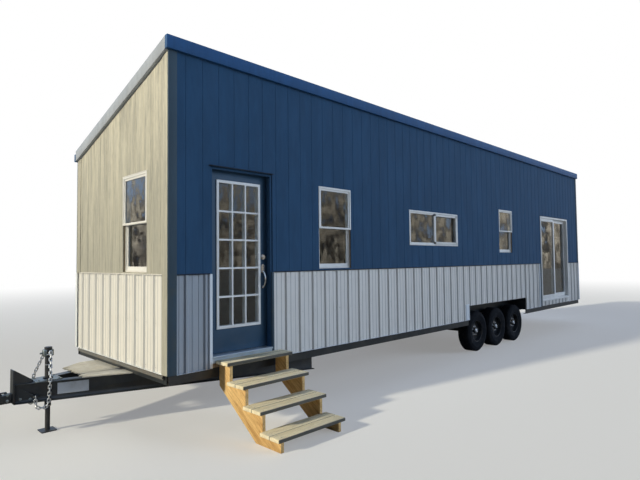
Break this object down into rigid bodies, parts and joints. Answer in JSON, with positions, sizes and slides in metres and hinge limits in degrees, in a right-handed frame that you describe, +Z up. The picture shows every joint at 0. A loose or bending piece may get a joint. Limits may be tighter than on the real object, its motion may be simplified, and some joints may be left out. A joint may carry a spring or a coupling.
{
  "type": "tiny house on a triple-axle trailer",
  "caption": "Long single-slope tiny house on a steel trailer, with ribbed steel lower walls, an entry door, a sliding patio door, wooden steps and a towing tongue.",
  "frame": {"origin": "on the ground below the centre of the outer box, steps and tongue included", "axes": "+X along the house away from the tongue, +Y from the entry side to the back, +Z up"},
  "size_m": [13.59, 3.715, 4.115],
  "materials": {
    "chassis_steel": "black paint, some rust",
    "cladding_steel": "satin enamel",
    "clear_glass": "clear",
    "door_hardware": "satin nickel",
    "door_paint": "satin paint",
    "floor_wood": "plain",
    "galvanised": "dull zinc",
    "roof_steel": "satin",
    "roof_wood": "plain",
    "sill_metal": "worn",
    "steel_hardware": "satin",
    "stringer_wood": "sawn pine",
    "tread_wood": "weathered",
    "trim_dark": "satin paint",
    "trim_pale": "satin paint",
    "tyre": "worn rubber",
    "wall_boards_dark": "satin dark blue-grey paint over grooved plywood",
    "wall_boards_pale": "pale grey wash over grooved plywood",
    "weathered_plywood": "weathered",
    "wheel_steel": "dark paint",
    "white_vinyl": "smooth"
  },
  "bodies": {
    "house": {"axles": "chassis_steel", "back_wall": "wall_boards_dark", "chassis_rails": "chassis_steel", "coupler": "chassis_steel", "coupler_mount": "chassis_steel", "crossmembers": "chassis_steel", "eave_fascias": "trim_dark", "end_corner_boards": "trim_pale", "end_wainscot": "cladding_steel", "entry_frame": "door_paint", "entry_hinges": "steel_hardware", "entry_threshold": "sill_metal", "floor_platform": "floor_wood", "front_wall_left": "wall_boards_dark", "front_wall_middle": "wall_boards_dark", "front_wall_over_entry": "wall_boards_dark", "front_wall_over_patio": "wall_boards_dark", "front_wall_right": "wall_boards_dark", "hung_window_frames": "white_vinyl", "jack_plate": "galvanised", "leaf_springs": "chassis_steel", "patio_fixed_glass": "clear_glass", "patio_fixed_panel": "white_vinyl", "patio_frame": "white_vinyl", "rake_fascias": "trim_pale", "rear_end_wall": "wall_boards_pale", "roof_deck": "roof_wood", "roof_panels": "roof_steel", "safety_chains": "galvanised", "side_corner_boards": "trim_dark", "side_wainscot": "cladding_steel", "slider_window_frame": "white_vinyl", "spring_hangers": "chassis_steel", "step_stringers": "stringer_wood", "step_treads": "tread_wood", "tongue_deck": "weathered_plywood", "tongue_end_wall": "wall_boards_pale", "tongue_frame": "chassis_steel", "tongue_jack": "galvanised", "wainscot_trims": "cladding_steel", "wheel_boxes": "chassis_steel", "window_glass": "clear_glass"},
    "entry_door": {"entry_door": "door_paint", "entry_lite_frame": "white_vinyl", "entry_glass": "clear_glass", "entry_handle": "door_hardware"},
    "patio_panel": {"patio_sliding_panel": "white_vinyl", "patio_sliding_glass": "clear_glass"},
    "wheel_entry_1": {"tyre_entry_1": "tyre", "rim_entry_1": "wheel_steel"},
    "wheel_back_1": {"tyre_back_1": "tyre", "rim_back_1": "wheel_steel"},
    "wheel_entry_2": {"tyre_entry_2": "tyre", "rim_entry_2": "wheel_steel"},
    "wheel_back_2": {"tyre_back_2": "tyre", "rim_back_2": "wheel_steel"},
    "wheel_entry_3": {"tyre_entry_3": "tyre", "rim_entry_3": "wheel_steel"},
    "wheel_back_3": {"tyre_back_3": "tyre", "rim_back_3": "wheel_steel"}
  },
  "joints": [
    {"name": "entry_door_swing", "type": "hinge", "parent": "house", "child": "entry_door", "pos_m": [-4.923, -0.6665, 1.755], "axis": [0, 0, 1], "range_deg": [0, 95]},
    {"name": "patio_panel_slide", "type": "slide", "parent": "house", "child": "patio_panel", "axis": [-1, 0, 0], "range_m": [0, 0.8]},
    {"name": "wheel_entry_1_spin", "type": "hinge", "parent": "house", "child": "wheel_entry_1", "pos_m": [1.103, -0.619, 0.388], "axis": [0, 1, 0], "continuous": true},
    {"name": "wheel_back_1_spin", "type": "hinge", "parent": "house", "child": "wheel_back_1", "pos_m": [1.103, 1.597, 0.388], "axis": [0, 1, 0], "continuous": true},
    {"name": "wheel_entry_2_spin", "type": "hinge", "parent": "house", "child": "wheel_entry_2", "pos_m": [1.943, -0.619, 0.388], "axis": [0, 1, 0], "continuous": true},
    {"name": "wheel_back_2_spin", "type": "hinge", "parent": "house", "child": "wheel_back_2", "pos_m": [1.943, 1.597, 0.388], "axis": [0, 1, 0], "continuous": true},
    {"name": "wheel_entry_3_spin", "type": "hinge", "parent": "house", "child": "wheel_entry_3", "pos_m": [2.783, -0.619, 0.388], "axis": [0, 1, 0], "continuous": true},
    {"name": "wheel_back_3_spin", "type": "hinge", "parent": "house", "child": "wheel_back_3", "pos_m": [2.783, 1.597, 0.388], "axis": [0, 1, 0], "continuous": true}
  ]
}
